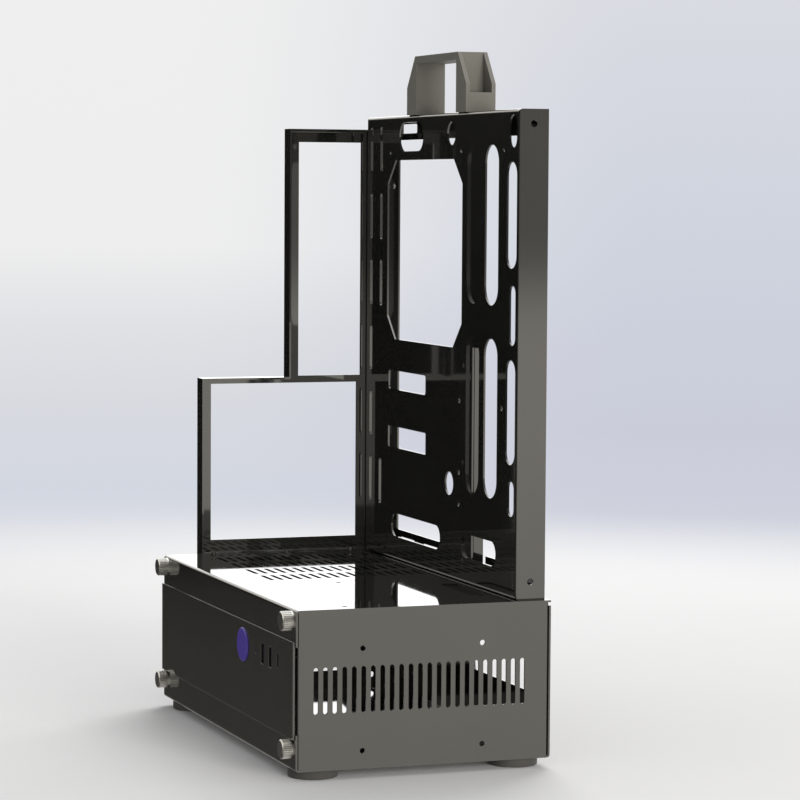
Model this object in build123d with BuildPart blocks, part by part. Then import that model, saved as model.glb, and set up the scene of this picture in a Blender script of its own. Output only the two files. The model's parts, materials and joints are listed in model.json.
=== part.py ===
from build123d import *
import os

os.makedirs("parts", exist_ok=True)

# An open air test bench: a low steel box with the power supply bay and a drive bay, and on top of
# it a tall folded tray for the motherboard, a rear frame for its ports and cards, and a handle.
# X runs along the box, from the power supply end (-X) to the vented end (+X), Y from the control
# panel (-Y) to the back, and Z up. The origin is on the floor under the middle of the whole bench.

# Folded sheet steel
sheet = 1.2
bend = 2.0  # outer radius of a fold

# Base box
case_w = 291.3
case_d = 163.05
case_h = 96.7
lip_low = 19.2  # visible height of the front lower lip
lip_top = 18.9  # visible height of the front upper lip
lip_cover = 3.0  # strip of each lip behind the control panel
side_flange = 16.0  # front and back flange of a side panel
rear_ledge = 20.0  # ledge at the head of the back wall, under the top plate
ledge_short = 18.5  # each end of the ledge stops clear of the side panels
ledge_pitch = 70.0  # of the screws through the tray's foot
slip = 0.3  # gap left where one sheet slides past another

# Rubber feet
foot_d = 30.5
foot_h = 6.0
foot_x = 127.0
foot_y = 64.5
foot_recess_d = 10.0
foot_recess = 3.4

# Fasteners
hole_fit = 0.15  # radial clearance of a screw in its hole
small_d = 3.0  # M3 shank
small_head_d = 5.6
small_head = 1.9
small_l = 6.0  # short screw
small_nut = 5.5  # across flats
small_nut_h = 2.4
thin_nut_h = 1.8
large_d = 4.0  # M4 shank
large_head_d = 7.6
large_head = 2.5
large_nut = 7.0
large_nut_h = 3.2
thumb_d = 11.8
thumb_l = 7.2
thumb_thread = 3.5
thumb_reach = 4.5  # thread behind the head
thumb_inset = 8.15  # from the end of the box
thumb_up = 13.2  # lower pair above the underside of the box
thumb_down = 6.8  # upper pair below the top of the box
flute_count = 30
flute = 0.45

# Control panel
panel_t = 1.4
panel_short = 1.65  # the near end stops short of the side panel's face
row_z = 62.5  # button and ports above the underside of the box
button_in = 102.55  # from the near end of the box
button_d = 21.3
button_fit = 0.1  # radial running clearance of the button in its housing
button_proud = 1.0
button_dome = 0.9
button_travel = 1.5
button_skirt = 5.5
stem_d = 6.0
housing_d = 23.7
housing_l = 17.0
ear_span = 32.0
ear_w = 8.0
ear_t = 2.0
stud_l = 6.0
indicator_in = 76.15
indicator_d = 4.0
port_in = 62.35
port_pitch = 15.35
port_fit = 0.2
usb_a_w = 5.9
usb_a_h = 12.3
usb_c_w = 3.3
usb_c_h = 8.9
port_wall = 0.4
port_back = 0.3  # ports sit this far behind the panel's face
board_gap = 13.0  # from the panel's back to the port board
board_t = 1.6
board_w = 63.0
board_h = 27.0
pillar_d = 5.5
pillar_dx = 27.5
pillar_dz = 9.5

# Vented side panel
vent_count = 23
vent_pitch = 6.0
vent_w = 3.0
vent_l = 28.0
vent_off_y = -2.95  # from the middle of the panel
vent_z = 48.1  # above the underside of the box
drive_dy = 76.6
drive_dz = 61.72
drive_off_y = -1.25
drive_z = 41.8
drive_hole_d = 3.4

# Power supply side panel
psu_w = 150.0
psu_h = 86.0
psu_rise = 1.0  # the supply hangs clear of the floor
psu_off_y = -1.2
psu_hole_d = 3.8
psu_hole_in = 6.0
psu_hole_up = 16.0
psu_hole_back = 30.0
psu_open_w = 120.0
psu_open_h = 66.0
psu_open_in = 9.8  # opening in from the supply's front side
psu_sill = 10.0
psu_corner = 9.0

# Back wall
rear_open_w = 114.0
rear_open_h = 48.0
rear_open_x = 77.0
rear_open_z = 60.0  # middle above the underside of the box

# Top plate
grid_cols = 4
grid_rows = 17
grid_pitch_x = 33.5
grid_pitch_y = 6.4
grid_slot_l = 24.5
grid_slot_w = 3.0
grid_x = -58.55
cable_x = 84.0
cable_off_y = 48.5
cable_l = 62.0
cable_w = 11.0
top_hole_d = 3.5
top_holes = [(28.1, -15.3), (134.6, -47.4)]

# Motherboard tray
tray_d = 19.1
tray_h = 297.9
tray_back = 2.05  # from the box's back face
frame_inset = 7.2  # rear frame's inner face from the far end of the box
tray_inset = 5.4  # tray from the near end of the box
lip_h = 15.4  # return lips at the back of the tray, at its top, foot and far side
lip_hole_d = 4.0
lip_hole_up = 251.3
lip_hole_in = 5.95
lip_window_w = 29.6
lip_window_h = 6.2
lip_window_up = 7.9
lip_gap_l = -12.0
lip_gap_r = 44.0
board_x = 48.25  # first column of board holes from the rear frame
board_z = 272.7  # top row of board holes above the tray's foot
board_dx1 = 132.08
board_dx2 = 72.39
board_dz1 = 157.48
board_dz2 = 203.2
board_dz3 = 223.52
board_hole_d = 3.4
cpu_w = 140.5
cpu_h = 119.8
cpu_corner = 15.5
cpu_off_x = 64.95  # middle of the cut-out from the first board hole
cpu_off_z = -64.2
cable_slot_w = 22.4
cable_slot_l = 99.0
cable_slot_x = [64.9, 95.8]
cable_slot_z = [227.3, 107.6]
round_d = 15.0
round_x = 24.7
round_z = [284.6, 61.0]
tie_w = 5.0
tie_l = 31.5
tie_pitch = 45.0
tie_x = -127.8
tie_x2 = -108.0
tie_z = 50.7
flange_hole_d = 4.2
flange_hole_in = 8.9

# Stiffener behind the tray
stiff_x = 61.0
stiff_w = 15.0
stiff_d = 8.45
stiff_l = 147.0  # folded part
stiff_plate_w = 34.0  # flat part above the fold, which shuts the upper inner slot
stiff_plate_l = 132.0
stiff_rise = 3.0

# Rear frame
frame_flange = 13.0
frame_low_h = 121.1
frame_h = 289.5
io_gap = 4.15  # from the tray's face to the I/O window
io_w = 44.9
io_h = 159.4
io_stile = 10.5
io_head = 8.7
slot_gap = 6.85  # from the tray's face to the slot window
slot_w = 104.3
slot_h = 106.4
slot_stile = 9.8
slot_sill = 10.2

# Handle
handle_x = -3.0
handle_l = 108.4
handle_d = 20.0
handle_h = 38.2
handle_knee = 17.9  # height of the upright part of each end
handle_slope = 14.95
handle_plate = 2.6
handle_liner = 2.6
handle_web = 4.8
grip_w = 72.8
handle_end = 12.4
handle_base = 3.0

# Derived places
z0 = foot_h
z_top = z0 + case_h
z_under = z_top - sheet
front_y = (thumb_l - case_d - small_head) / 2
back_y = front_y + case_d
mid_y = (front_y + back_y) / 2
end_x = case_w / 2
thumb_x = end_x - thumb_inset
thumb_z = [z0 + thumb_up, z_top - thumb_down]
lip_z = z0 + lip_low
panel_z = z_top - lip_top
frame_x = frame_inset - end_x
tray_x = end_x - tray_inset
tray_w = tray_x - frame_x
tray_rear = back_y - tray_back
tray_y = tray_rear - tray_d
tray_top = z_top + tray_h
row = z0 + row_z
psu_z = z0 + sheet + psu_rise
psu_y = mid_y + psu_off_y
stud_x = thumb_x
button_x = end_x - button_in
indicator_x = end_x - indicator_in
port_x = end_x - port_in
stud_z = [lip_z + 9.5, panel_z - 9.5]
ear_x = [button_x - ear_span / 2, button_x + ear_span / 2]
board_cx = indicator_x - 7.5 + board_w / 2
pillars = [(board_cx - pillar_dx, row - pillar_dz), (board_cx + pillar_dx, row + pillar_dz)]
hole_x = [frame_x + board_x, frame_x + board_x + board_dx1, frame_x + board_x + board_dx1 + board_dx2]
hole_z = [z_top + board_z - drop for drop in (0, board_dz1, board_dz2, board_dz3)]

# Sketches and groups that several pieces share


def folded(plane, outline, inner=Side.LEFT):
    """Section of a folded sheet, from the outer line of its faces."""
    with BuildSketch(plane) as section:
        with BuildLine():
            FilletPolyline(*outline, radius=bend)
            offset(amount=sheet, side=inner)
        make_face()
    return section.sketch


def rounds(plane, spots, diameter):
    """Discs on a plane, for drilling holes or raising studs."""
    with BuildSketch(plane) as discs:
        with Locations(*spots):
            Circle(diameter / 2)
    return discs.sketch


def stadium(plane, spots, length, width, turn=0):
    """Slots with round ends on a plane."""
    with BuildSketch(plane) as slots:
        with Locations(*spots):
            SlotOverall(length, width, rotation=turn)
    return slots.sketch


def window(plane, middle, width, height, radius):
    """One rectangular opening with rounded corners."""
    with BuildSketch(plane) as opening:
        with Locations(middle):
            RectangleRounded(width, height, radius)
    return opening.sketch


def screws(seat, spots, head_d, head_h, shank_d, length):
    """Pan head screws: heads on the plane's normal side, shanks through it."""
    with BuildPart() as group:
        extrude(rounds(seat, spots, head_d), amount=head_h)
        fillet(group.faces().sort_by(Axis(seat.origin, seat.z_dir))[-len(spots):].edges(), head_h * 0.35)
        extrude(rounds(seat, spots, shank_d), amount=-length)
        with BuildSketch(seat.offset(head_h)):
            with Locations(*spots):
                RegularPolygon(shank_d * 0.42, 6)
        extrude(amount=-head_h * 0.55, mode=Mode.SUBTRACT)
    return group.part


def nuts(seat, spots, flats, height, bore):
    """Hexagon nuts on a plane, on its normal side."""
    with BuildPart() as group:
        with BuildSketch(seat):
            with Locations(*spots):
                RegularPolygon(flats / 2, 6, major_radius=False)
                Circle(bore / 2, mode=Mode.SUBTRACT)
        extrude(amount=height)
    return group.part


def side_section(end):
    """Section of a side panel, with its flanges behind the front lips and inside the back wall."""
    outline = [
        (end * (end_x - side_flange), front_y + sheet),
        (end * end_x, front_y + sheet),
        (end * end_x, back_y - sheet),
        (end * (end_x - side_flange), back_y - sheet),
    ]
    return folded(Plane.XY.offset(z0 + sheet), outline, Side.LEFT if end > 0 else Side.RIGHT)


def corner_notches(x):
    """Small diamonds that take a side panel's corners clear of the bends around it."""
    spots = [(y, z) for y in (front_y + sheet, back_y - sheet) for z in (z0 + sheet, z_under)]
    with BuildSketch(Plane.YZ.offset(x)) as notches:
        with Locations(*spots):
            Rectangle((bend - sheet) * 2**0.5, (bend - sheet) * 2**0.5, rotation=45)
    return notches.sketch


# Planes
front_plane = Plane.XZ.offset(-front_y)
face_plane = Plane.XZ.offset(panel_t - front_y)
lip_inner = Plane.XZ.offset(-front_y - sheet)
flange_inner = Plane.XZ.offset(-front_y - 2 * sheet)
back_plane = Plane.XZ.offset(-back_y)
tray_plane = Plane.XZ.offset(-tray_y)
through = case_d

# Base box

lip_spots = [(side * thumb_x, z) for side in (-1, 1) for z in thumb_z]
stud_spots = [(side * stud_x, z) for side in (-1, 1) for z in stud_z]
back_spots = [(side * thumb_x, z) for side in (-1, 1) for z in thumb_z]
foot_spots = [(x, mid_y + y) for x in (-foot_x, foot_x) for y in (-foot_y, foot_y)]
ledge_x = [ledge_pitch * (i - 1.5) for i in range(4)]
ledge_spots = [(x, tray_y + tray_d / 2) for x in ledge_x]
frame_foot_y = [tray_y - slot_gap - slot_w, tray_y - slot_gap - slot_w / 2, tray_y - slot_gap - 6]
frame_foot_x = frame_x + frame_flange / 2 + bend / 2
frame_foot_spots = [(frame_foot_x, y) for y in frame_foot_y]

with BuildPart() as bottom_pan:
    pan_line = [
        (front_y, lip_z + lip_cover),
        (front_y, z0),
        (back_y, z0),
        (back_y, z_under),
        (back_y - rear_ledge, z_under),
    ]
    extrude(folded(Plane.YZ.offset(-end_x), pan_line), amount=case_w)
    for side in (-1, 1):
        with BuildSketch(Plane.XY.offset(z_under - bend)):
            with Locations((side * (end_x - ledge_short / 2), back_y - rear_ledge / 2)):
                Rectangle(ledge_short, rear_ledge)
        extrude(amount=bend, mode=Mode.SUBTRACT)
    extrude(rounds(front_plane, [s for s in lip_spots if s[1] < row], thumb_thread + 4 * hole_fit),
            amount=-sheet, mode=Mode.SUBTRACT)
    extrude(rounds(back_plane, back_spots, small_d + 2 * hole_fit), amount=sheet, mode=Mode.SUBTRACT)
    extrude(rounds(Plane.XY.offset(z0), foot_spots, large_d + 2 * hole_fit), amount=sheet,
            mode=Mode.SUBTRACT)
    extrude(rounds(Plane.XY.offset(z_under), ledge_spots, small_d + 2 * hole_fit), amount=-sheet,
            mode=Mode.SUBTRACT)
    extrude(window(back_plane, (rear_open_x, z0 + rear_open_z), rear_open_w, rear_open_h, 3),
            amount=sheet, mode=Mode.SUBTRACT)

with BuildPart() as top_plate:
    top_line = [(front_y, panel_z - lip_cover), (front_y, z_top), (back_y, z_top)]
    extrude(folded(Plane.YZ.offset(-end_x), top_line, Side.RIGHT), amount=case_w)
    with BuildSketch(Plane.XY.offset(z_top)):
        with Locations((grid_x, mid_y)):
            with GridLocations(grid_pitch_x, grid_pitch_y, grid_cols, grid_rows):
                SlotOverall(grid_slot_l, grid_slot_w)
        with Locations((cable_x, mid_y + cable_off_y)):
            SlotOverall(cable_l, cable_w)
        with Locations(*[(x, mid_y + y) for x, y in top_holes]):
            Circle(top_hole_d / 2)
        with Locations(*ledge_spots, *frame_foot_spots):
            Circle(small_d / 2 + hole_fit)
    extrude(amount=-sheet, mode=Mode.SUBTRACT)
    extrude(rounds(front_plane, [s for s in lip_spots if s[1] > row], thumb_thread + 4 * hole_fit),
            amount=-sheet, mode=Mode.SUBTRACT)

with BuildPart() as vented_side_panel:
    extrude(side_section(1), amount=case_h - 2 * sheet)
    with BuildSketch(Plane.YZ.offset(end_x)):
        with Locations((mid_y + vent_off_y, z0 + vent_z)):
            with GridLocations(vent_pitch, vent_l, vent_count, 1):
                SlotOverall(vent_l, vent_w, rotation=90)
        with Locations((mid_y + drive_off_y, z0 + drive_z)):
            with GridLocations(drive_dy, drive_dz, 2, 2):
                Circle(drive_hole_d / 2)
    extrude(amount=-sheet, mode=Mode.SUBTRACT)
    extrude(rounds(lip_inner, [s for s in lip_spots if s[0] > 0], thumb_thread + 2 * hole_fit),
            amount=-sheet, mode=Mode.SUBTRACT)
    extrude(rounds(lip_inner, [s for s in stud_spots if s[0] > 0], small_d + 2 * hole_fit),
            amount=-sheet, mode=Mode.SUBTRACT)
    extrude(rounds(back_plane, [s for s in back_spots if s[0] > 0], small_d + 2 * hole_fit),
            amount=3 * sheet, mode=Mode.SUBTRACT)
    extrude(corner_notches(end_x - side_flange), amount=side_flange, mode=Mode.SUBTRACT)

psu_spots = [(psu_hole_in, psu_hole_up), (psu_hole_in, psu_h - psu_hole_in),
             (psu_w - psu_hole_back, psu_h - psu_hole_in), (psu_w - psu_hole_in, psu_hole_in)]

with BuildPart() as power_supply_side_panel:
    extrude(side_section(-1), amount=case_h - 2 * sheet)
    with BuildSketch(Plane.YZ.offset(-end_x)):
        with Locations((psu_y - psu_w / 2 + psu_open_in + psu_open_w / 2, psu_z + psu_sill + psu_open_h / 2)):
            bay = Rectangle(psu_open_w, psu_open_h)
        chamfer(bay.vertices(), psu_corner)
        with Locations(*[(psu_y - psu_w / 2 + y, psu_z + z) for y, z in psu_spots]):
            Circle(psu_hole_d / 2)
    extrude(amount=sheet, mode=Mode.SUBTRACT)
    extrude(rounds(lip_inner, [s for s in lip_spots if s[0] < 0], thumb_thread + 2 * hole_fit),
            amount=-sheet, mode=Mode.SUBTRACT)
    extrude(rounds(lip_inner, [s for s in stud_spots if s[0] < 0], small_d + 2 * hole_fit),
            amount=-sheet, mode=Mode.SUBTRACT)
    extrude(rounds(back_plane, [s for s in back_spots if s[0] < 0], small_d + 2 * hole_fit),
            amount=3 * sheet, mode=Mode.SUBTRACT)
    extrude(corner_notches(-end_x), amount=side_flange, mode=Mode.SUBTRACT)

with BuildPart() as back_screws:
    add(screws(Plane(origin=(0, back_y, 0), x_dir=(-1, 0, 0), z_dir=(0, 1, 0)),
               [(-x, z) for x, z in back_spots], small_head_d, small_head, small_d, small_l))

with BuildPart() as thumbscrews:
    extrude(rounds(front_plane, lip_spots, thumb_d), amount=thumb_l)
    chamfer(thumbscrews.edges().filter_by(GeomType.CIRCLE).group_by(Axis.Y)[0], 0.7)
    for x, z in lip_spots:
        with BuildSketch(front_plane.offset(1.2)):
            with Locations((x, z)):
                with PolarLocations(thumb_d / 2, flute_count):
                    Rectangle(flute, flute, rotation=45)
        extrude(amount=thumb_l, mode=Mode.SUBTRACT)
    extrude(rounds(front_plane, lip_spots, thumb_thread), amount=-thumb_reach)

# Feet, each with a recess for its screw
feet = []
for number, (x, y) in enumerate(foot_spots):
    with BuildPart() as foot:
        with BuildSketch(Plane.XY):
            with Locations((x, y)):
                Circle(foot_d / 2)
        extrude(amount=foot_h)
        fillet(foot.edges().group_by(Axis.Z)[0], 1.0)
        extrude(rounds(Plane.XY, [(x, y)], foot_recess_d), amount=foot_recess, mode=Mode.SUBTRACT)
        extrude(rounds(Plane.XY, [(x, y)], large_d + 2 * hole_fit), amount=foot_h, mode=Mode.SUBTRACT)
    feet.append(foot.part)

with BuildPart() as foot_screws:
    add(screws(Plane.XY.offset(foot_recess).rotated((180, 0, 0)), [(x, -y) for x, y in foot_spots],
               large_head_d, large_head, large_d, foot_h - foot_recess + sheet))

# Control panel and what it carries

port_spots = [(port_x + port_pitch * i, row) for i in range(3)]
panel_w = case_w - panel_short

with BuildPart() as control_panel:
    with BuildSketch(front_plane):
        with Locations((-panel_short / 2, (lip_z + panel_z) / 2)):
            Rectangle(panel_w, panel_z - lip_z)
        with Locations((button_x, row)):
            Circle(button_d / 2 + 2 * button_fit, mode=Mode.SUBTRACT)
        with Locations((indicator_x, row)):
            Circle(indicator_d / 2 + button_fit, mode=Mode.SUBTRACT)
        with Locations(*port_spots[:2]):
            RectangleRounded(usb_a_w + 2 * port_fit, usb_a_h + 2 * port_fit, 0.6, mode=Mode.SUBTRACT)
        with Locations(port_spots[2]):
            SlotOverall(usb_c_h + 2 * port_fit, usb_c_w + 2 * port_fit, rotation=90, mode=Mode.SUBTRACT)
    extrude(amount=panel_t)

with BuildPart() as panel_studs:
    extrude(rounds(front_plane, stud_spots, small_d), amount=-(2 * sheet + thin_nut_h + 0.3))
    extrude(rounds(front_plane, [(x, row) for x in ear_x], small_d), amount=-stud_l)

with BuildPart() as board_pillars:
    extrude(rounds(front_plane, pillars, pillar_d), amount=-board_gap)
    extrude(rounds(front_plane.offset(-board_gap), pillars, small_d + 2 * hole_fit), amount=small_l,
            mode=Mode.SUBTRACT)

with BuildPart() as panel_nuts:
    add(nuts(flange_inner.rotated((180, 0, 0)), [(x, -z) for x, z in stud_spots], small_nut,
             thin_nut_h, small_d + 2 * hole_fit))

with BuildPart() as switch_housing:
    with BuildSketch(front_plane):
        with Locations((button_x, row)):
            SlotCenterToCenter(ear_span, ear_w)
    extrude(amount=-ear_t)
    extrude(rounds(front_plane, [(button_x, row)], housing_d), amount=-housing_l)
    extrude(rounds(front_plane, [(button_x, row)], button_d + 2 * button_fit),
            amount=-(button_skirt + button_travel + 0.5), mode=Mode.SUBTRACT)
    extrude(rounds(front_plane, [(button_x, row)], stem_d + 2 * button_fit),
            amount=-(housing_l - 2), mode=Mode.SUBTRACT)
    extrude(rounds(front_plane, [(x, row) for x in ear_x], small_d + 2 * hole_fit), amount=-ear_t,
            mode=Mode.SUBTRACT)
    with BuildSketch(front_plane.offset(-housing_l)):
        with Locations((button_x - 5, row), (button_x + 5, row)):
            Rectangle(0.8, 4.8)
    extrude(amount=-7)

with BuildPart() as switch_nuts:
    add(nuts(front_plane.offset(-ear_t).rotated((180, 0, 0)), [(x, -row) for x in ear_x], small_nut,
             small_nut_h, small_d + 2 * hole_fit))

with BuildPart() as power_button:
    extrude(rounds(face_plane, [(button_x, row)], button_d), amount=button_proud)
    fillet(power_button.edges().filter_by(GeomType.CIRCLE).group_by(Axis.Y)[0], button_dome)
    extrude(rounds(face_plane, [(button_x, row)], button_d), amount=-(panel_t + button_skirt))
    extrude(rounds(front_plane, [(button_x, row)], stem_d), amount=-(housing_l - 2 - button_travel - 1))

with BuildPart() as indicator_lens:
    extrude(rounds(front_plane, [(indicator_x, row)], indicator_d), amount=panel_t - port_back)
    extrude(rounds(front_plane, [(indicator_x, row)], indicator_d), amount=-board_gap)


def usb_a(spot):
    """Upright type A socket: a shell with its tongue, open at the front."""
    with BuildPart() as socket:
        face = face_plane.offset(-port_back)
        depth = board_gap + panel_t - port_back
        extrude(window(face, spot, usb_a_w, usb_a_h, 0.5), amount=-depth)
        extrude(window(face, spot, usb_a_w - 2 * port_wall, usb_a_h - 2 * port_wall, 0.2),
                amount=-(depth - 3), mode=Mode.SUBTRACT)
        with BuildSketch(face.offset(-1)):
            with Locations((spot[0] - 0.9, spot[1])):
                Rectangle(1.8, usb_a_h - 2.4)
        extrude(amount=-(depth - 1))
    return socket.part


with BuildPart() as usb_a_port_left:
    add(usb_a(port_spots[0]))

with BuildPart() as usb_a_port_right:
    add(usb_a(port_spots[1]))

with BuildPart() as usb_c_port:
    c_face = face_plane.offset(-port_back)
    c_depth = board_gap + panel_t - port_back
    extrude(stadium(c_face, [port_spots[2]], usb_c_h, usb_c_w, 90), amount=-c_depth)
    extrude(stadium(c_face, [port_spots[2]], usb_c_h - 2 * port_wall, usb_c_w - 2 * port_wall, 90),
            amount=-(c_depth - 4), mode=Mode.SUBTRACT)
    extrude(window(c_face.offset(-1), port_spots[2], 0.7, usb_c_h - 2.4, 0.2), amount=-(c_depth - 1))

with BuildPart() as port_board:
    with BuildSketch(front_plane.offset(-board_gap)):
        with Locations((board_cx, row)):
            RectangleRounded(board_w, board_h, 2)
        with Locations(*pillars):
            Circle(small_d / 2 + hole_fit, mode=Mode.SUBTRACT)
    extrude(amount=-board_t)

with BuildPart() as port_screws:
    add(screws(front_plane.offset(-board_gap - board_t).rotated((180, 0, 0)),
               [(x, -z) for x, z in pillars], small_head_d, small_head, small_d, board_t + 5))

# Motherboard tray

tie_spots = [(tie_x, z_top + tie_z + tie_pitch * i) for i in range(6)]
tie_spots2 = [(tie_x2, z_top + tie_z + tie_pitch * i) for i in (0, 3, 4, 5)]
near_column = [
    (128.85, 233.65, 64.7, 16.1),
    (130.95, 172.7, 36.4, 9.7),
    (128.75, 113.55, 63.9, 15.3),
    (130.65, 60.85, 21.7, 9.7),
    (130.3, 284.45, 20.1, 11.8),
]
sideways = [(-50.0, 283.7, 45.8, 19.0), (-37.85, 23.6, 93.3, 15.6), (76.55, 23.8, 59.7, 15.4)]
square_windows = [(-55.75, 121.15, 71.7, 12.7, 2.0), (-55.65, 82.75, 72.9, 14.1, 0.8)]
tray_holes = [(hole_x[0], hole_z[0]), (hole_x[1], hole_z[0]), (hole_x[2], hole_z[0]),
              (hole_x[1], hole_z[1]), (hole_x[2], hole_z[1]), (hole_x[1], hole_z[2]),
              (hole_x[1], hole_z[3])]
flange_spots = [(tray_y + tray_d / 2, z) for z in (z_top + 11.1, tray_top - flange_hole_in)]
frame_spots = [(tray_y + tray_d / 2, z_top + up) for up in (25, 105, 185, 265)]
lip_windows = [hole_x[0] - 12.0, hole_x[0] + 33.0]
stiff_spots = [(stiff_x - stiff_w + small_head_d / 2 + 0.4, z_top + stiff_rise + up)
               for up in (12, stiff_l / 2, stiff_l - 12)]
handle_spots = [(handle_x + side * (grip_w / 2 + handle_liner + 6), tray_y + tray_d / 2) for side in (-1, 1)]

with BuildPart() as motherboard_tray:
    with BuildSketch(Plane.XY.offset(z_top)):
        with Locations((frame_x + tray_w / 2, tray_y + tray_d / 2)):
            Rectangle(tray_w, tray_d)
    extrude(amount=tray_h)
    fillet(motherboard_tray.faces().sort_by(Axis.Y)[0].edges(), bend)
    offset(amount=-sheet, mode=Mode.SUBTRACT)
    with BuildSketch(Plane.XZ.offset(-tray_rear)):
        with Locations((frame_x + (tray_w + lip_h - sheet) / 2, z_top + tray_h / 2)):
            Rectangle(tray_w - lip_h - sheet, tray_h - 2 * lip_h)
        with Locations(((lip_gap_l + lip_gap_r) / 2, z_top + lip_h)):
            Rectangle(lip_gap_r - lip_gap_l, 2 * (lip_h - sheet))
        with Locations(*[(x, z) for x in lip_windows
                         for z in (z_top + lip_window_up, tray_top - lip_window_up)]):
            RectangleRounded(lip_window_w, lip_window_h, 1.5)
        with Locations((frame_x + lip_hole_in, z_top + lip_hole_up)):
            Circle(lip_hole_d / 2)
    extrude(amount=sheet, mode=Mode.SUBTRACT)
    with BuildSketch(tray_plane):
        with Locations((hole_x[0] + cpu_off_x, hole_z[0] + cpu_off_z)):
            cpu = Rectangle(cpu_w, cpu_h)
        chamfer(cpu.vertices(), cpu_corner)
        with Locations(*[(x, z_top + z) for x in cable_slot_x for z in cable_slot_z]):
            SlotOverall(cable_slot_l, cable_slot_w, rotation=90)
        with Locations(*[(round_x, z_top + z) for z in round_z]):
            Circle(round_d / 2)
        with Locations(*tie_spots, *tie_spots2):
            SlotOverall(tie_l, tie_w, rotation=90)
        with Locations(*tray_holes):
            Circle(board_hole_d / 2)
        for x, z, length, width in near_column:
            with Locations((x, z_top + z)):
                SlotOverall(length, width, rotation=90)
        for x, z, length, width in sideways:
            with Locations((x, z_top + z)):
                SlotOverall(length, width)
        for x, z, length, width, corner in square_windows:
            with Locations((x, z_top + z)):
                RectangleRounded(length, width, corner)
        with Locations(*stiff_spots):
            Circle(small_d / 2 + hole_fit)
    extrude(amount=-sheet, mode=Mode.SUBTRACT)
    extrude(rounds(Plane.YZ.offset(tray_x), flange_spots, flange_hole_d), amount=-sheet,
            mode=Mode.SUBTRACT)
    extrude(rounds(Plane.YZ.offset(frame_x), frame_spots, small_d + 2 * hole_fit), amount=sheet,
            mode=Mode.SUBTRACT)
    extrude(rounds(Plane.XY.offset(z_top), ledge_spots, small_d + 2 * hole_fit), amount=sheet,
            mode=Mode.SUBTRACT)
    extrude(rounds(Plane.XY.offset(tray_top), handle_spots, large_d + 2 * hole_fit), amount=-sheet,
            mode=Mode.SUBTRACT)

with BuildPart() as tray_screws:
    add(screws(Plane.XY.offset(z_top + sheet), ledge_spots, small_head_d, small_head, small_d,
               3 * sheet + 2))

with BuildPart() as tray_stiffener:
    stiff_line = [(stiff_x - stiff_w, tray_y + sheet), (stiff_x, tray_y + sheet),
                  (stiff_x, tray_y + sheet + stiff_d)]
    extrude(folded(Plane.XY.offset(z_top + stiff_rise), stiff_line), amount=stiff_l)
    with BuildSketch(tray_plane.offset(-sheet)):
        with Locations((stiff_x - stiff_w + stiff_plate_w / 2, z_top + stiff_rise + stiff_l + stiff_plate_l / 2)):
            plate = Rectangle(stiff_plate_w, stiff_plate_l)
        chamfer(plate.vertices().group_by(Axis.Y)[-1], sheet * 3)
    extrude(amount=-sheet)
    extrude(rounds(tray_plane.offset(-sheet), stiff_spots, small_d + 2 * hole_fit), amount=-sheet,
            mode=Mode.SUBTRACT)

with BuildPart() as stiffener_screws:
    add(screws(tray_plane.offset(-2 * sheet).rotated((180, 0, 0)), [(x, -z) for x, z in stiff_spots],
               small_head_d, small_head, small_d, 2 * sheet))

# Rear frame

slot_front = tray_y - slot_gap - slot_w
io_front = tray_y - io_gap - io_w
frame_front = slot_front - slot_stile
io_outer = io_front - io_stile
frame_mid = z_top + frame_low_h
frame_top = z_top + frame_h

with BuildPart() as rear_frame:
    with BuildSketch(Plane.YZ.offset(frame_x - sheet)):
        with BuildLine():
            Polyline((frame_front, z_top), (tray_rear, z_top), (tray_rear, frame_top),
                     (io_outer, frame_top), (io_outer, frame_mid), (frame_front, frame_mid), close=True)
        make_face()
    extrude(amount=frame_flange + sheet)
    rim = rear_frame.faces().sort_by(Axis.X)[0].edges()
    fillet(rim.sort_by(Axis.Y)[:-1], bend)
    offset(amount=-sheet, openings=rear_frame.faces().sort_by(Axis.X)[-1])
    with BuildSketch(Plane.YZ.offset(frame_x)):
        with Locations((tray_rear, z_top + frame_h / 2)):
            Rectangle(2 * (tray_d + slip), frame_h)
    extrude(amount=frame_flange, mode=Mode.SUBTRACT)
    with BuildSketch(Plane.YZ.offset(frame_x)):
        with Locations((slot_front + slot_w / 2, z_top + slot_sill + slot_h / 2)):
            Rectangle(slot_w, slot_h)
        with Locations((io_front + io_w / 2, frame_top - io_head - io_h / 2)):
            Rectangle(io_w, io_h)
        with Locations(*frame_spots):
            Circle(small_d / 2 + hole_fit)
    extrude(amount=-sheet, mode=Mode.SUBTRACT)
    extrude(rounds(Plane.XY.offset(z_top), frame_foot_spots, small_d + 2 * hole_fit), amount=sheet,
            mode=Mode.SUBTRACT)

with BuildPart() as frame_screws:
    add(screws(Plane(origin=(frame_x - sheet, 0, 0), x_dir=(0, -1, 0), z_dir=(-1, 0, 0)),
               [(-y, z) for y, z in frame_spots], small_head_d, small_head, small_d, 5))

with BuildPart() as frame_foot_screws:
    add(screws(Plane.XY.offset(z_under).rotated((180, 0, 0)), [(x, -y) for x, y in frame_foot_spots],
               small_head_d, small_head, small_d, 2 * sheet + 1.5))

# Handle

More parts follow.
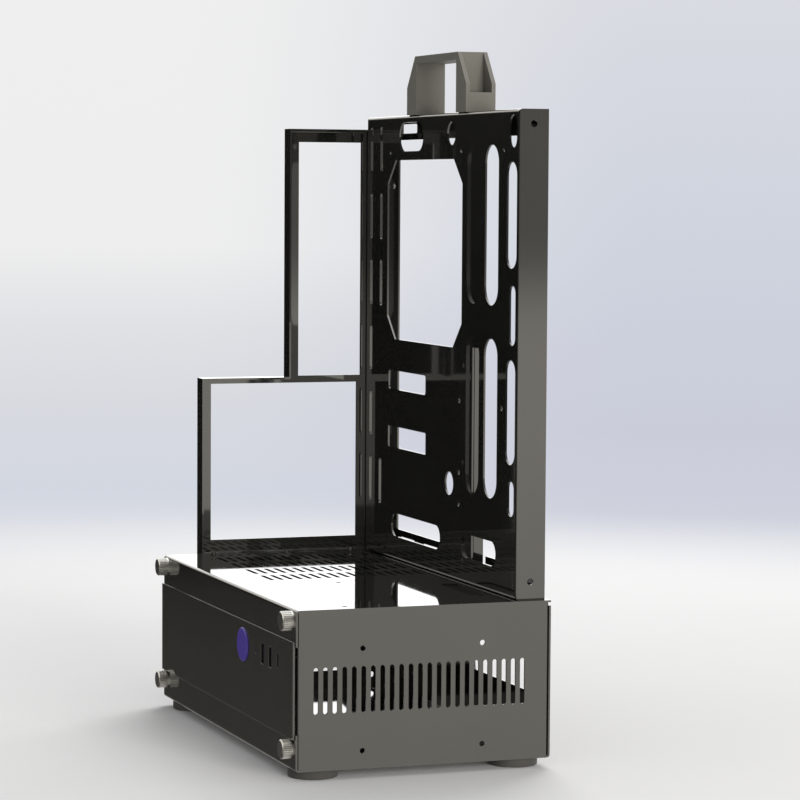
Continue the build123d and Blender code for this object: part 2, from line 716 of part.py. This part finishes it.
with BuildPart() as handle:
    low, knee, peak = tray_top, tray_top + handle_knee, tray_top + handle_h
    half = handle_l / 2
    handle_plane = Plane.XZ.offset(-(tray_y + tray_d / 2) + handle_d / 2)
    with BuildSketch(handle_plane):
        with BuildLine():
            Polyline((handle_x - half, low), (handle_x - half, knee),
                     (handle_x - half + handle_slope, peak), (handle_x + half - handle_slope, peak),
                     (handle_x + half, knee), (handle_x + half, low), close=True)
        make_face()
        with Locations((handle_x, low + (handle_h - handle_web) / 2)):
            Rectangle(grip_w, handle_h - handle_web, mode=Mode.SUBTRACT)
    extrude(amount=-handle_d)
    pocket = half - grip_w / 2 - handle_liner
    for side in (-1, 1):
        with BuildSketch(Plane.XY.offset(low + handle_base)):
            with Locations((handle_x + side * (half - handle_plate - (pocket - handle_plate) / 2),
                            tray_y + tray_d / 2)):
                Rectangle(pocket - handle_plate, handle_d - 2 * handle_plate)
        extrude(amount=handle_h, mode=Mode.SUBTRACT)
        with BuildSketch(Plane.XY.offset(low + handle_end)):
            with Locations((handle_x + side * half, tray_y + tray_d / 2)):
                Rectangle(2 * pocket, handle_d - 2 * handle_plate)
        extrude(amount=handle_h, mode=Mode.SUBTRACT)
    extrude(rounds(Plane.XY.offset(low), handle_spots, large_d + 2 * hole_fit), amount=handle_base,
            mode=Mode.SUBTRACT)

with BuildPart() as handle_screws:
    add(screws(Plane.XY.offset(tray_top - sheet).rotated((180, 0, 0)), [(x, -y) for x, y in handle_spots],
               large_head_d, large_head, large_d, sheet + handle_base + large_nut_h + 0.8))

with BuildPart() as handle_nuts:
    add(nuts(Plane.XY.offset(tray_top + handle_base), handle_spots, large_nut, large_nut_h,
             large_d + 2 * hole_fit))

# Written pieces

pieces = {
    "bottom_pan": bottom_pan.part,
    "top_plate": top_plate.part,
    "vented_side_panel": vented_side_panel.part,
    "power_supply_side_panel": power_supply_side_panel.part,
    "back_screws": back_screws.part,
    "thumbscrews": thumbscrews.part,
    "foot_front_far": feet[0],
    "foot_back_far": feet[1],
    "foot_front_near": feet[2],
    "foot_back_near": feet[3],
    "foot_screws": foot_screws.part,
    "control_panel": control_panel.part,
    "panel_studs": panel_studs.part,
    "board_pillars": board_pillars.part,
    "panel_nuts": panel_nuts.part,
    "switch_housing": switch_housing.part,
    "switch_nuts": switch_nuts.part,
    "power_button": power_button.part,
    "indicator_lens": indicator_lens.part,
    "usb_a_port_left": usb_a_port_left.part,
    "usb_a_port_right": usb_a_port_right.part,
    "usb_c_port": usb_c_port.part,
    "port_board": port_board.part,
    "port_screws": port_screws.part,
    "motherboard_tray": motherboard_tray.part,
    "tray_screws": tray_screws.part,
    "tray_stiffener": tray_stiffener.part,
    "stiffener_screws": stiffener_screws.part,
    "rear_frame": rear_frame.part,
    "frame_screws": frame_screws.part,
    "frame_foot_screws": frame_foot_screws.part,
    "handle": handle.part,
    "handle_screws": handle_screws.part,
    "handle_nuts": handle_nuts.part,
}
for label, piece in pieces.items():
    piece.label = label
    export_step(piece, f"parts/{label}.step")
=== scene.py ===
"""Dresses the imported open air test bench: finishes, studio and camera."""

import json
import logging
import math
from dataclasses import dataclass
from enum import Enum

import bmesh
import bpy
from mathutils import Matrix, Vector

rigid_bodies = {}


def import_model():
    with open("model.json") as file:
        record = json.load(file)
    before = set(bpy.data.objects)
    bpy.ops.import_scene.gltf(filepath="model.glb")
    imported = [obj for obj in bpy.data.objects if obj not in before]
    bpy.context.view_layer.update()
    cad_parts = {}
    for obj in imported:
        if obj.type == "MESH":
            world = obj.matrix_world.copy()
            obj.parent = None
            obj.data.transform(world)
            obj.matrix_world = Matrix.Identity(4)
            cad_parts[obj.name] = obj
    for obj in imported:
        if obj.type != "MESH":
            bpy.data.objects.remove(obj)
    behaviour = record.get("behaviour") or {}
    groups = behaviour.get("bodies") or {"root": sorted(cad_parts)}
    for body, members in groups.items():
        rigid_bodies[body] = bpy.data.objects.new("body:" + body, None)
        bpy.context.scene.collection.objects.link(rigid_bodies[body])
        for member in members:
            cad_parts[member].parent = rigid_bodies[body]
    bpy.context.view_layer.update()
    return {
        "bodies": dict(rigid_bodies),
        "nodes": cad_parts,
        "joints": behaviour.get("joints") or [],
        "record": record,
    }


LOG = logging.getLogger("bench")
Colour = tuple[float, float, float, float]
Point = tuple[float, float, float]


def screen(red: float, green: float, blue: float) -> Colour:
    """Turns a colour as it is seen on a screen into the shader's linear one.

    Args:
        red: Red from 0 to 255.
        green: Green from 0 to 255.
        blue: Blue from 0 to 255.

    Returns:
        The linear colour with full alpha.
    """
    parts = [c / 255.0 for c in (red, green, blue)]
    lin = [c / 12.92 if c <= 0.04045 else ((c + 0.055) / 1.055) ** 2.4 for c in parts]
    return (lin[0], lin[1], lin[2], 1.0)


class Graph:
    """A shader tree that has one way to add a node."""

    def __init__(self, tree: bpy.types.NodeTree) -> None:
        """Empties the tree.

        Args:
            tree: The tree of a material or of the world.
        """
        self.tree = tree
        tree.nodes.clear()

    def node(self, kind: str, settings: dict | None = None, inputs: dict | None = None) -> bpy.types.Node:
        """Adds one node.

        Args:
            kind: The node's type.
            settings: Its properties, set first. A ramp's stops go under "stops".
            inputs: Values or wires for its sockets, by name or number.

        Returns:
            The new node.
        """
        made = self.tree.nodes.new(kind)
        for name, value in (settings or {}).items():
            if name == "stops":
                self._stops(made, value)
            else:
                setattr(made, name, value)
        for name, value in (inputs or {}).items():
            if isinstance(value, Wire):
                self.tree.links.new(value.socket, made.inputs[name])
            else:
                made.inputs[name].default_value = value
        return made

    def _stops(self, ramp: bpy.types.Node, stops: list[tuple[float, Colour]]) -> None:
        """Gives a colour ramp its stops.

        Args:
            ramp: The ramp node.
            stops: Places from 0 to 1 with their colours.
        """
        elements = ramp.color_ramp.elements
        while len(elements) < len(stops):
            elements.new(0.5)
        for element, (place, colour) in zip(elements, stops):
            element.position = place
            element.color = colour

    def wire(self, kind: str, settings: dict | None = None, inputs: dict | None = None,
             output: str | int = 0) -> "Wire":
        """Adds a node and hands back one of its outputs.

        Args:
            kind: The node's type.
            settings: Its properties.
            inputs: Values or wires for its sockets.
            output: The output's name or number.

        Returns:
            The output as a wire.
        """
        return Wire(self, self.node(kind, settings, inputs).outputs[output])

    def blend(self, mask: "Wire | float", low: "Wire | Colour", high: "Wire | Colour") -> "Wire":
        """Mixes two colours.

        Args:
            mask: 0 for the first colour, 1 for the second.
            low: The first colour.
            high: The second colour.

        Returns:
            The mixed colour.
        """
        mix = self.node("ShaderNodeMix", {"data_type": "RGBA"}, {0: mask, 6: low, 7: high})
        return Wire(self, mix.outputs[2])

    def along(self, direction: "Wire", axis: Point) -> "Wire":
        """The length of a direction along an axis.

        Args:
            direction: The vector to measure.
            axis: The unit axis.

        Returns:
            The dot product.
        """
        return self.wire("ShaderNodeVectorMath", {"operation": "DOT_PRODUCT"},
                         {0: direction, 1: axis}, "Value")

    def place(self, scale: Point = (1.0, 1.0, 1.0), turn: Point = (0.0, 0.0, 0.0)) -> "Wire":
        """Object coordinates, stretched and turned.

        Args:
            scale: Stretch along each axis.
            turn: Turn about each axis, in radians.

        Returns:
            The mapped coordinates.
        """
        where = self.wire("ShaderNodeTexCoord", output="Object")
        return self.wire("ShaderNodeMapping", None, {"Vector": where, "Scale": scale, "Rotation": turn})

    def noise(self, where: "Wire", scale: float, detail: float = 3.0, rough: float = 0.5) -> "Wire":
        """Soft noise from 0 to 1.

        Args:
            where: The coordinates.
            scale: Cells per metre.
            detail: Octaves.
            rough: Weight of the finer octaves.

        Returns:
            The noise value.
        """
        return self.wire("ShaderNodeTexNoise", None,
                         {"Vector": where, "Scale": scale, "Detail": detail, "Roughness": rough})

    def bump(self, height: "Wire", depth: float, strength: float, normal: "Wire | None" = None) -> "Wire":
        """A normal bent by a height.

        Args:
            height: The height from 0 to 1.
            depth: The distance that 1 stands for, in metres.
            strength: Share of the bend.
            normal: The normal that is bent, or none for the surface's own.

        Returns:
            The bent normal.
        """
        inputs = {"Height": height, "Distance": depth, "Strength": strength}
        if normal:
            inputs["Normal"] = normal
        return self.wire("ShaderNodeBump", None, inputs)


class Wire:
    """A number in a shader tree that can be used in Python sums."""

    def __init__(self, graph: Graph, socket: bpy.types.NodeSocket) -> None:
        """Holds an output.

        Args:
            graph: The tree it belongs to.
            socket: The output socket.
        """
        self.graph = graph
        self.socket = socket

    def _sum(self, operation: str, first: "Wire | float", second: "Wire | float") -> "Wire":
        """Adds a Math node.

        Args:
            operation: What it does.
            first: Its first value.
            second: Its second value.

        Returns:
            The result.
        """
        return self.graph.wire("ShaderNodeMath", {"operation": operation}, {0: first, 1: second})

    def __add__(self, other: "Wire | float") -> "Wire":
        """Self plus other."""
        return self._sum("ADD", self, other)

    def __sub__(self, other: "Wire | float") -> "Wire":
        """Self less other."""
        return self._sum("SUBTRACT", self, other)

    def __rsub__(self, other: float) -> "Wire":
        """Other less self."""
        return self._sum("SUBTRACT", other, self)

    def __mul__(self, other: "Wire | float") -> "Wire":
        """Self times other."""
        return self._sum("MULTIPLY", self, other)

    __radd__ = __add__
    __rmul__ = __mul__

    def larger(self, other: "Wire | float") -> "Wire":
        """The larger of self and other."""
        return self._sum("MAXIMUM", self, other)

    def ease(self, low: float, high: float) -> "Wire":
        """Rises smoothly from 0 to 1 between two values.

        Args:
            low: Where it is 0.
            high: Where it is 1.

        Returns:
            The eased value.
        """
        return self.graph.wire("ShaderNodeMapRange", {"interpolation_type": "SMOOTHSTEP"},
                               {"Value": self, "From Min": low, "From Max": high})


class Slot(Enum):
    """The record's material slots."""

    SHEET = "black_sheet"
    STEEL = "plated_steel"
    RUBBER = "foot_rubber"
    THUMB = "thumbscrew_metal"
    SWITCH = "switch_plastic"
    BUTTON = "button_plastic"
    LENS = "lens_plastic"
    SHELL = "port_shell"
    BOARD = "board_laminate"
    HANDLE = "handle_paint"


@dataclass(frozen=True)
class Finish:
    """A surface with constants on its sockets and a pattern over it."""

    name: str
    colour: Colour
    second: Colour
    roughness: float
    metallic: float = 0.0
    ior: float = 1.5
    coat: float = 0.0
    coat_roughness: float = 0.06

    def material(self) -> bpy.types.Material:
        """Builds the material, or finds the one that was built.

        Returns:
            The material.
        """
        ready = bpy.data.materials.get(self.name)
        if ready:
            return ready
        made = bpy.data.materials.new(self.name)
        made.use_nodes = True
        graph = Graph(made.node_tree)
        inputs = {"Metallic": self.metallic, "IOR": self.ior, "Coat Weight": self.coat,
                  "Coat Roughness": self.coat_roughness, "Roughness": self.roughness}
        inputs.update(self.pattern(graph))
        shader = graph.wire("ShaderNodeBsdfPrincipled", None, inputs)
        graph.node("ShaderNodeOutputMaterial", None, {"Surface": shader})
        return made

    def pattern(self, graph: Graph) -> dict[str, Wire | float]:
        """What changes over the surface.

        Args:
            graph: The material's tree.

        Returns:
            The shader's inputs.
        """
        raise NotImplementedError("each kind of finish has a pattern of its own")


@dataclass(frozen=True)
class GlossSheet(Finish):
    """Gloss black stoved paint on folded sheet steel, with scales in cells per metre."""

    haze_scale: float = 14.0
    fleck_scale: float = 2600.0
    peel_scale: float = 900.0
    peel_depth: float = 0.000004
    edge_radius: float = 0.0

    def pattern(self, graph: Graph) -> dict[str, Wire | float]:
        """Orange peel, a faint haze of handling and, where asked for, rounded cut edges.

        Args:
            graph: The material's tree.

        Returns:
            The shader's inputs.
        """
        where = graph.place()
        haze = graph.noise(where, self.haze_scale, 4.0, 0.55).ease(0.35, 0.75)
        fleck = graph.noise(where, self.fleck_scale, 1.0).ease(0.66, 0.74)
        peel = graph.noise(where, self.peel_scale, 2.0)
        edge = None
        if self.edge_radius:
            edge = graph.wire("ShaderNodeBevel", {"samples": 4}, {"Radius": self.edge_radius})
        return {
            "Base Color": graph.blend(haze * 0.8 + fleck * 0.2, self.colour, self.second),
            "Roughness": self.roughness + haze * 0.03 + fleck * 0.05,
            "Normal": graph.bump(peel, self.peel_depth, 0.12, edge),
        }


@dataclass(frozen=True)
class SatinPaint(Finish):
    """Fine grained satin paint, with scales in cells per metre."""

    tone_scale: float = 30.0
    grain_scale: float = 2200.0
    grain_depth: float = 0.00002

    def pattern(self, graph: Graph) -> dict[str, Wire | float]:
        """A fine grain with a slow change of tone.

        Args:
            graph: The material's tree.

        Returns:
            The shader's inputs.
        """
        where = graph.place()
        tone = graph.noise(where, self.tone_scale, 3.0)
        grain = graph.noise(where, self.grain_scale, 2.0)
        return {
            "Base Color": graph.blend(tone * 0.7 + grain * 0.3, self.colour, self.second),
            "Roughness": self.roughness + (grain - 0.5) * 0.12,
            "Normal": graph.bump(grain, self.grain_depth, 0.35),
        }


@dataclass(frozen=True)
class TurnedMetal(Finish):
    """Plated metal with the fine rings that a lathe leaves, with scales in cells per metre."""

    stretch: Point = (1.0, 12.0, 1.0)
    ring_scale: float = 320.0
    ring_depth: float = 0.00001
    stain_scale: float = 90.0

    def pattern(self, graph: Graph) -> dict[str, Wire | float]:
        """Drawn-out grain and stains of plating.

        Args:
            graph: The material's tree.

        Returns:
            The shader's inputs.
        """
        rings = graph.noise(graph.place(self.stretch), self.ring_scale, 4.0)
        stain = graph.noise(graph.place(), self.stain_scale, 2.0).ease(0.4, 0.8)
        return {
            "Base Color": graph.blend(rings * 0.6 + stain * 0.4, self.colour, self.second),
            "Roughness": self.roughness + rings * 0.12,
            "Normal": graph.bump(rings, self.ring_depth, 0.25),
        }


@dataclass(frozen=True)
class Moulded(Finish):
    """Moulded rubber or plastic with a fine spark-eroded texture, with scales in cells per metre."""

    pebble_scale: float = 1400.0
    pebble_depth: float = 0.00003
    dust_scale: float = 45.0

    def pattern(self, graph: Graph) -> dict[str, Wire | float]:
        """A pebbled texture with paler dust on it.

        Args:
            graph: The material's tree.

        Returns:
            The shader's inputs.
        """
        where = graph.place()
        pebble = graph.wire("ShaderNodeTexVoronoi", None,
                            {"Vector": where, "Scale": self.pebble_scale}, "Distance")
        dust = graph.noise(where, self.dust_scale, 4.0).ease(0.45, 0.8)
        return {
            "Base Color": graph.blend(dust * 0.6 + pebble * 0.3, self.colour, self.second),
            "Roughness": self.roughness + pebble * 0.1,
            "Normal": graph.bump(pebble, self.pebble_depth, 0.3),
        }


@dataclass(frozen=True)
class Laminate(Finish):
    """Green solder mask over copper tracks, with scales in cells per metre."""

    track_scale: float = 260.0
    track_depth: float = 0.00003
    speckle_scale: float = 500.0

    def pattern(self, graph: Graph) -> dict[str, Wire | float]:
        """Tracks that show through as paler lines.

        Args:
            graph: The material's tree.

        Returns:
            The shader's inputs.
        """
        tracks = graph.wire("ShaderNodeTexBrick", None, {
            "Vector": graph.place(turn=(math.pi / 2, 0.0, 0.0)), "Scale": self.track_scale,
            "Mortar Size": 0.03, "Mortar Smooth": 0.1}, "Fac")
        speckle = graph.noise(graph.place(), self.speckle_scale)
        return {
            "Base Color": graph.blend(tracks * 0.8 + speckle * 0.2, self.colour, self.second),
            "Roughness": self.roughness + speckle * 0.1,
            "Normal": graph.bump(tracks, self.track_depth, 0.5),
        }


class Finishes(Enum):
    """The bench's finishes."""

    SHEET = GlossSheet("gloss_black_sheet", screen(28, 28, 26), screen(34, 34, 31), 0.035, ior=2.05)
    PANEL = GlossSheet("gloss_black_panel", screen(28, 28, 26), screen(34, 34, 31), 0.035, ior=2.05,
                       edge_radius=0.0006)
    HANDLE = SatinPaint("satin_grey_handle", screen(115, 113, 106), screen(102, 100, 94), 0.38)
    STEEL = TurnedMetal("plated_screw_steel", screen(150, 149, 145), screen(110, 108, 103), 0.28, 1.0)
    THUMB = TurnedMetal("knurled_nickel", screen(206, 206, 203), screen(158, 158, 155), 0.22, 1.0)
    RUBBER = Moulded("foot_rubber_black", screen(61, 60, 57), screen(77, 76, 72), 0.55)
    SWITCH = Moulded("switch_nylon", screen(30, 30, 30), screen(42, 42, 41), 0.5)
    BUTTON = Moulded("button_violet", screen(77, 58, 165), screen(71, 55, 148), 0.3,
                     pebble_scale=2500.0, pebble_depth=0.00001)
    LENS = Moulded("smoked_lens", screen(9, 9, 9), screen(14, 14, 14), 0.12,
                   pebble_scale=2500.0, pebble_depth=0.000005)
    SHELL = TurnedMetal("socket_shell", screen(88, 88, 86), screen(62, 62, 60), 0.32, 1.0)
    BOARD = Laminate("solder_mask", screen(18, 62, 38), screen(44, 98, 60), 0.35, coat=0.3)


OWN_FINISH = {"control_panel": Finishes.PANEL}


@dataclass
class SubAssembly:
    """A group of the frame's nodes that is dressed together."""

    title: str
    nodes: tuple[str, ...]

    def build(self, frame: dict) -> None:
        """Dresses the group's nodes.

        Args:
            frame: What the frame's loader gave.
        """
        slots = {part["node"]: part["material_slot"] for part in frame["record"]["subparts"]}
        for name in self.nodes:
            finish = OWN_FINISH.get(name, Finishes[Slot(slots[name]).name]).value
            item = frame["nodes"][name]
            item.data.materials.clear()
            item.data.materials.append(finish.material())
            LOG.info("%s: %s in %s", self.title, name, finish.name)


@dataclass(frozen=True)
class Lamp:
    """One soft square lamp, with its place and side in metres and its power in watts."""

    name: str
    place: Point
    aim: Point
    side: float
    power: float
    tint: Colour

    def hang(self) -> None:
        """Hangs the lamp, out of the camera's sight and of the gloss."""
        data = bpy.data.lights.new(self.name, "AREA")
        data.size = self.side
        data.energy = self.power
        data.color = self.tint[:3]
        item = bpy.data.objects.new(self.name, data)
        turn = (Vector(self.aim) - Vector(self.place)).to_track_quat("-Z", "Y")
        item.matrix_world = Matrix.Translation(Vector(self.place)) @ turn.to_matrix().to_4x4()
        bpy.context.scene.collection.objects.link(item)
        item.visible_camera = False
        item.visible_glossy = False


@dataclass
class Studio:
    """Floor, world, lamps and camera, with angles in degrees.

    The focal length and the picture's side are in pixels. A ray's rise is the upward part of its
    unit direction. Each profile gives the mirrored room's brightness at a few rises.
    """

    eye: Point = (1.86015, -0.634175, 0.3506)
    yaw: float = 19.874
    pitch: float = 3.893
    roll: float = 0.348
    focal: float = 3070.3
    picture: float = 800.0
    sensor: float = 36.0
    floor_radius: float = 1.5
    floor_fade: float = 0.75
    soft_light: float = 0.5
    backdrop_foot: float = -0.2
    backdrop_gain: float = 3.6
    steepest: float = 0.25
    brightest: float = 2.5
    nearby: tuple[tuple[float, float], ...] = (
        (-0.25, 0.9), (-0.19, 0.93), (-0.14, 1.02), (-0.094, 1.13), (-0.08, 1.2), (-0.042, 1.2),
        (-0.022, 0.52), (-0.012, 0.43), (0.25, 0.43))
    beside: tuple[tuple[float, float], ...] = (
        (-0.25, 0.12), (-0.185, 0.1), (-0.15, 0.08), (-0.13, 0.055), (-0.12, 0.015), (-0.05, 0.004),
        (0.0, 0.01), (0.03, 0.02), (0.06, 0.1), (0.18, 0.12), (0.24, 1.5))
    beyond: tuple[tuple[float, float], ...] = (
        (-0.25, 0.6), (-0.2, 0.05), (-0.12, 0.08), (-0.05, 0.8), (0.0, 2.3), (0.25, 2.3))
    lamps: tuple[Lamp, ...] = (
        Lamp("key", (-1.8, 1.1, 2.2), (0.0, 0.0, 0.1), 1.8, 50.0, screen(255, 254, 252)),
        Lamp("near_fill", (2.4, 0.3, 0.45), (0.0, 0.0, 0.25), 1.0, 50.0, screen(255, 252, 247)))

    def axes(self) -> tuple[Vector, Vector, Vector]:
        """The camera's right, up and forward directions.

        Returns:
            Three unit vectors.
        """
        yaw, pitch, roll = (math.radians(a) for a in (self.yaw, self.pitch, self.roll))
        ahead = Vector((-math.cos(yaw) * math.cos(pitch), math.sin(yaw) * math.cos(pitch), -math.sin(pitch)))
        flat = ahead.cross(Vector((0.0, 0.0, 1.0))).normalized()
        upright = flat.cross(ahead)
        right = flat * math.cos(roll) + upright * math.sin(roll)
        up = upright * math.cos(roll) - flat * math.sin(roll)
        return right, up, ahead

    def camera(self) -> None:
        """Stands the camera where the photograph was taken."""
        right, up, ahead = self.axes()
        data = bpy.data.cameras.new("photo_camera")
        data.sensor_width = self.sensor
        data.lens = self.focal / self.picture * self.sensor
        data.clip_start, data.clip_end = 0.05, 60.0
        item = bpy.data.objects.new("photo_camera", data)
        turn = Matrix((right, up, -ahead)).transposed().to_4x4()
        item.matrix_world = Matrix.Translation(Vector(self.eye)) @ turn
        bpy.context.scene.collection.objects.link(item)
        bpy.context.scene.camera = item

    def backdrop(self, graph: Graph, ray: Wire) -> Wire:
        """The pale backdrop, by the height and side of the view ray.

        Args:
            graph: The tree it is made in.
            ray: The direction looked in.

        Returns:
            The backdrop's colour.
        """
        right = self.axes()[0]
        height = graph.along(ray, (0.0, 0.0, 1.0))
        side = graph.along(ray, tuple(right)).ease(-0.075, 0.085)
        rise = (height - self.backdrop_foot) * self.backdrop_gain
        left = graph.wire("ShaderNodeValToRGB", {"stops": [
            (0.0, screen(226, 227, 230)), (0.3, screen(222, 224, 230)), (0.37, screen(211, 215, 225)),
            (0.475, screen(216, 218, 224)), (0.56, screen(224, 225, 229)), (0.655, screen(238, 238, 238)),
            (1.0, screen(239, 239, 239))]}, {"Fac": rise})
        other = graph.wire("ShaderNodeValToRGB", {"stops": [
            (0.0, screen(226, 228, 232)), (0.25, screen(222, 224, 230)), (0.34, screen(207, 210, 221)),
            (0.44, screen(202, 204, 218)), (0.65, screen(206, 211, 222)), (0.88, screen(215, 217, 225)),
            (1.0, screen(219, 221, 227))]}, {"Fac": rise})
        return graph.blend(side, left, other)

    def profile(self, graph: Graph, height: Wire, stops: tuple[tuple[float, float], ...]) -> Wire:
        """A brightness that follows how high a ray points.

        Args:
            graph: The tree it is made in.
            height: The rise of the ray.
            stops: Rises up to the steepest, up or down, with the brightness there.

        Returns:
            The brightness.
        """
        gain = 0.5 / self.steepest
        ramp = []
        for rise, value in stops:
            grey = value / self.brightest
            ramp.append(((rise + self.steepest) * gain, (grey, grey, grey, 1.0)))
        share = graph.wire("ShaderNodeValToRGB", {"stops": ramp}, {"Fac": (height + self.steepest) * gain})
        return share * self.brightest

    def room(self, graph: Graph, ray: Wire) -> Wire:
        """What the gloss mirrors: white beyond the bench, a warm wall at its vented end, dark beside it.

        Args:
            graph: The tree it is made in.
            ray: The direction looked in.

        Returns:
            The shader of the mirrored room.
        """
        height = graph.along(ray, (0.0, 0.0, 1.0))
        near = graph.along(ray, (1.0, 0.0, 0.0)).ease(-0.1, 0.7)
        back = graph.along(ray, (0.0, 1.0, 0.0)).ease(-0.25, 0.25)
        away = self.profile(graph, height, self.beside) * (1.0 - back) + (
            self.profile(graph, height, self.beyond) * back)
        strength = away * (1.0 - near) + self.profile(graph, height, self.nearby) * near
        tint = graph.blend(back * (1.0 - near), screen(252, 247, 236), screen(255, 255, 255))
        return graph.wire("ShaderNodeBackground", None, {"Color": tint, "Strength": strength})

    def world(self) -> None:
        """Sets the backdrop, the mirrored room and the soft light of the room."""
        world = bpy.data.worlds.new("studio")
        bpy.context.scene.world = world
        world.use_nodes = True
        graph = Graph(world.node_tree)
        ray = graph.wire("ShaderNodeTexCoord", output="Generated")
        seen = graph.node("ShaderNodeLightPath")
        shown = graph.wire("ShaderNodeBackground", None, {"Color": self.backdrop(graph, ray)})
        soft = graph.wire("ShaderNodeBackground", None,
                          {"Color": screen(250, 250, 250), "Strength": self.soft_light})
        mirrored = Wire(graph, seen.outputs["Is Glossy Ray"])
        glossy = graph.wire("ShaderNodeMixShader", None, {0: mirrored, 1: soft, 2: self.room(graph, ray)})
        clear = Wire(graph, seen.outputs["Is Camera Ray"]).larger(
            Wire(graph, seen.outputs["Is Transmission Ray"]))
        full = graph.wire("ShaderNodeMixShader", None, {0: clear, 1: glossy, 2: shown})
        graph.node("ShaderNodeOutputWorld", None, {"Surface": full})

    def floor(self) -> None:
        """Lays a pale round floor that fades into the backdrop."""
        mesh = bpy.data.meshes.new("floor")
        shape = bmesh.new()
        bmesh.ops.create_circle(shape, cap_ends=True, segments=96, radius=self.floor_radius)
        shape.to_mesh(mesh)
        shape.free()
        item = bpy.data.objects.new("floor", mesh)
        bpy.context.scene.collection.objects.link(item)
        made = bpy.data.materials.new("floor_pale")
        made.use_nodes = True
        graph = Graph(made.node_tree)
        where = graph.wire("ShaderNodeTexCoord", output="Object")
        reach = graph.wire("ShaderNodeVectorMath", {"operation": "LENGTH"}, {0: where}, "Value")
        speck = graph.noise(where, 8.0)
        tint = graph.blend(speck, screen(235, 235, 236), screen(238, 238, 239))
        paint = graph.wire("ShaderNodeBsdfDiffuse", None, {"Color": tint})
        clear = graph.wire("ShaderNodeBsdfTransparent")
        fade = reach.ease(self.floor_fade, self.floor_radius * 0.98)
        graph.node("ShaderNodeOutputMaterial", None, {
            "Surface": graph.wire("ShaderNodeMixShader", None, {0: fade, 1: paint, 2: clear})})
        mesh.materials.append(made)
        item.visible_glossy = False

    def build(self) -> None:
        """Builds the whole studio."""
        self.camera()
        self.world()
        self.floor()
        for lamp in self.lamps:
            lamp.hang()
        bpy.context.scene.view_settings.view_transform = "Standard"
        LOG.info("studio: camera, world, floor and lamps")


def main() -> None:
    """Builds the bench's looks and the studio."""
    logging.basicConfig(level=logging.INFO, format="%(name)s: %(message)s")
    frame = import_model()
    groups = (
        SubAssembly("base box", ("bottom_pan", "top_plate", "vented_side_panel", "power_supply_side_panel",
                                 "back_screws", "thumbscrews")),
        SubAssembly("feet", ("foot_front_far", "foot_back_far", "foot_front_near", "foot_back_near",
                             "foot_screws")),
        SubAssembly("control panel", ("control_panel", "panel_studs", "board_pillars", "panel_nuts",
                                      "switch_housing", "switch_nuts", "power_button", "indicator_lens",
                                      "usb_a_port_left", "usb_a_port_right", "usb_c_port", "port_board",
                                      "port_screws")),
        SubAssembly("board tray", ("motherboard_tray", "tray_screws", "tray_stiffener",
                                   "stiffener_screws")),
        SubAssembly("rear frame", ("rear_frame", "frame_screws", "frame_foot_screws")),
        SubAssembly("handle", ("handle", "handle_screws", "handle_nuts")),
    )
    Studio().build()
    for group in groups:
        group.build(frame)


if __name__ == "__main__":
    main()
